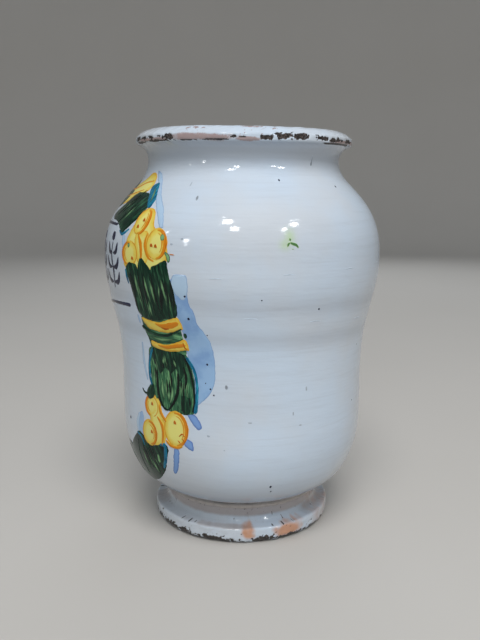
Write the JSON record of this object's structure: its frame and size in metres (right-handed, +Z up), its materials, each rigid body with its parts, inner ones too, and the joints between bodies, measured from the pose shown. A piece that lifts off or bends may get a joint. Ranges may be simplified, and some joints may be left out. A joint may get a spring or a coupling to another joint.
{
  "type": "apothecary jar",
  "caption": "Waisted earthenware drug jar with a round shoulder, short neck, everted lip and separate foot ring, for holding and pouring dry or thick stores.",
  "frame": {"origin": "centre of the flat base ring of the foot, on the surface that the jar stands on", "axes": "+Z up along the jar's axis of revolution; the painted label side faces -Y; +X is to the right when looking at the label"},
  "size_m": [0.17, 0.17, 0.24],
  "materials": {
    "white_glaze": "glossy, slightly blue-white tin glaze with faint throwing rings, pinholes and painted decoration",
    "foot_glaze": "glossy tin glaze, thin and pinkish on the edge, with bare clay patches and chips",
    "slip": "thin glaze over a rough slip bead, semi-gloss"
  },
  "bodies": {
    "root": {"jar_body": "white_glaze", "foot_ring": "foot_glaze", "luting_slip": "slip"}
  },
  "joints": []
}
